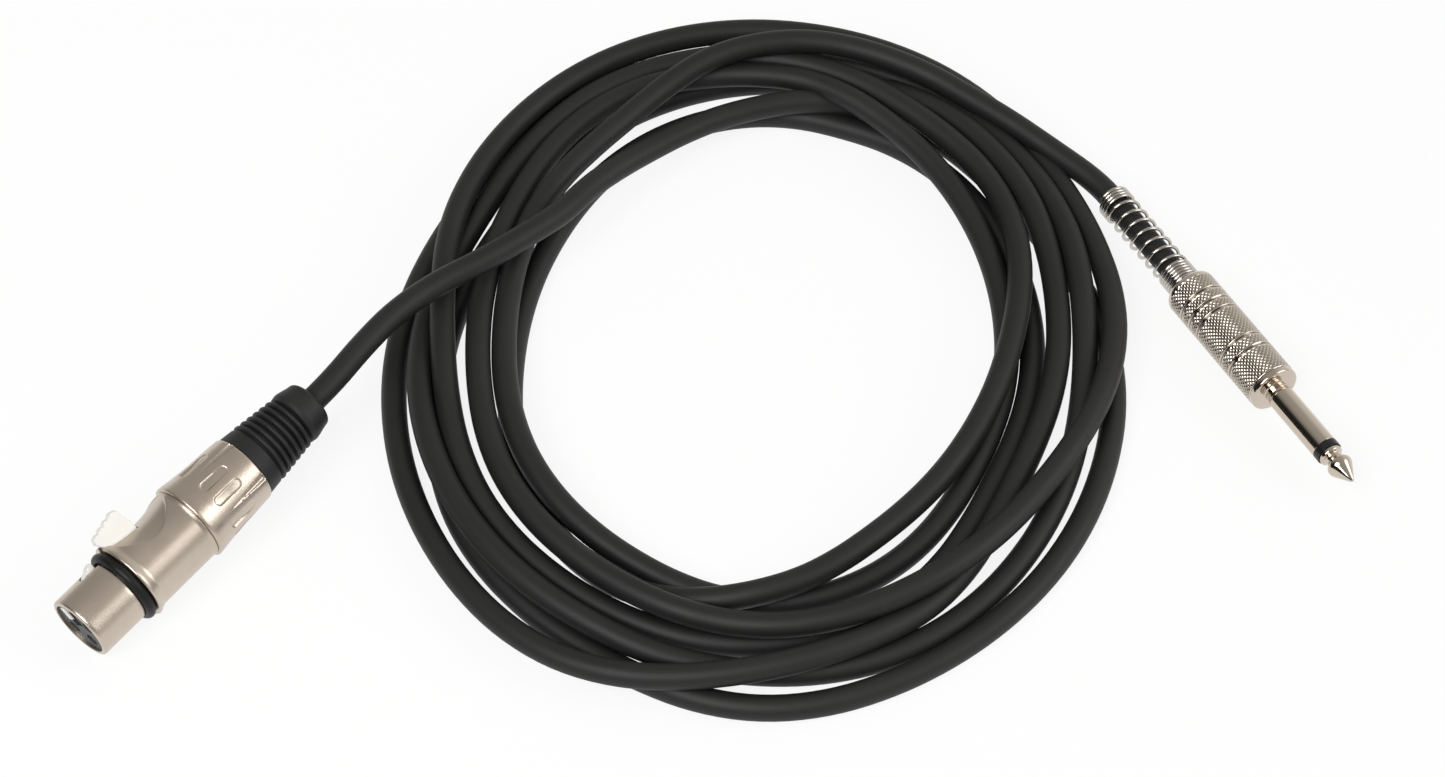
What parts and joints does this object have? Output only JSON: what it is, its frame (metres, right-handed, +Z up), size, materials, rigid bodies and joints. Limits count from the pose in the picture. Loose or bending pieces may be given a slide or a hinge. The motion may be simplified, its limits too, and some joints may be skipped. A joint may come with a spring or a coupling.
{
  "type": "microphone cable",
  "caption": "Coiled audio cable with a latching female three-pin connector at one end and a 6.35 mm plug with a spring strain relief at the other.",
  "frame": {"origin": "centre of the two connectors' bounding box, on the surface that the cable lies on", "axes": "+X from the three-pin connector's side to the plug's side, +Y away from the viewer, +Z up"},
  "size_m": [0.2918, 0.205, 0.0247],
  "materials": {
    "nickel_satin": "satin, sand-blasted nickel",
    "seal_rubber": "gloss",
    "insert_plastic": "matte",
    "contact_gold": "polished",
    "latch_metal": "satin, off-white",
    "steel": "polished",
    "clamp_plastic": "matte",
    "boot_rubber": "matte",
    "core_red": "gloss",
    "core_white": "gloss",
    "cable_jacket": "matte",
    "plug_nickel": "polished nickel",
    "band_plastic": "gloss",
    "lug_brass": "tinned",
    "shell_nickel": "knurled, polished nickel"
  },
  "bodies": {
    "cable": {"xlr_housing": "nickel_satin", "xlr_o_ring": "seal_rubber", "xlr_insert": "insert_plastic", "xlr_contact_1": "contact_gold", "xlr_contact_2": "contact_gold", "xlr_contact_3": "contact_gold", "xlr_latch_pin": "steel", "xlr_latch_spring": "steel", "xlr_rear_sleeve": "nickel_satin", "xlr_clamp": "clamp_plastic", "xlr_boot": "boot_rubber", "core_hot_xlr": "core_red", "core_return_xlr": "core_white", "cable_end_xlr": "cable_jacket", "jack_tip": "plug_nickel", "jack_insulator": "band_plastic", "jack_sleeve": "plug_nickel", "jack_rear_washer": "band_plastic", "jack_tip_lug": "lug_brass", "jack_sleeve_lug": "lug_brass", "jack_liner": "clamp_plastic", "jack_shell": "shell_nickel", "jack_spring": "steel", "cable_end_jack": "cable_jacket", "core_hot_jack": "core_red", "core_return_jack": "core_white", "cable_coil": "cable_jacket", "cable_tail_xlr": "cable_jacket", "cable_tail_jack": "cable_jacket"},
    "latch": {"xlr_latch": "latch_metal"}
  },
  "joints": [
    {"name": "xlr_latch_press", "type": "hinge", "parent": "cable", "child": "latch", "pos_m": [-0.12536, -0.0402, 0.01537], "axis": [0.5084, -0.549, 0.6634], "range_deg": [0, 5], "stiffness_Nm_per_rad": 0.2, "springref_deg": -5.73, "deforming": ["xlr_latch_spring"]}
  ]
}
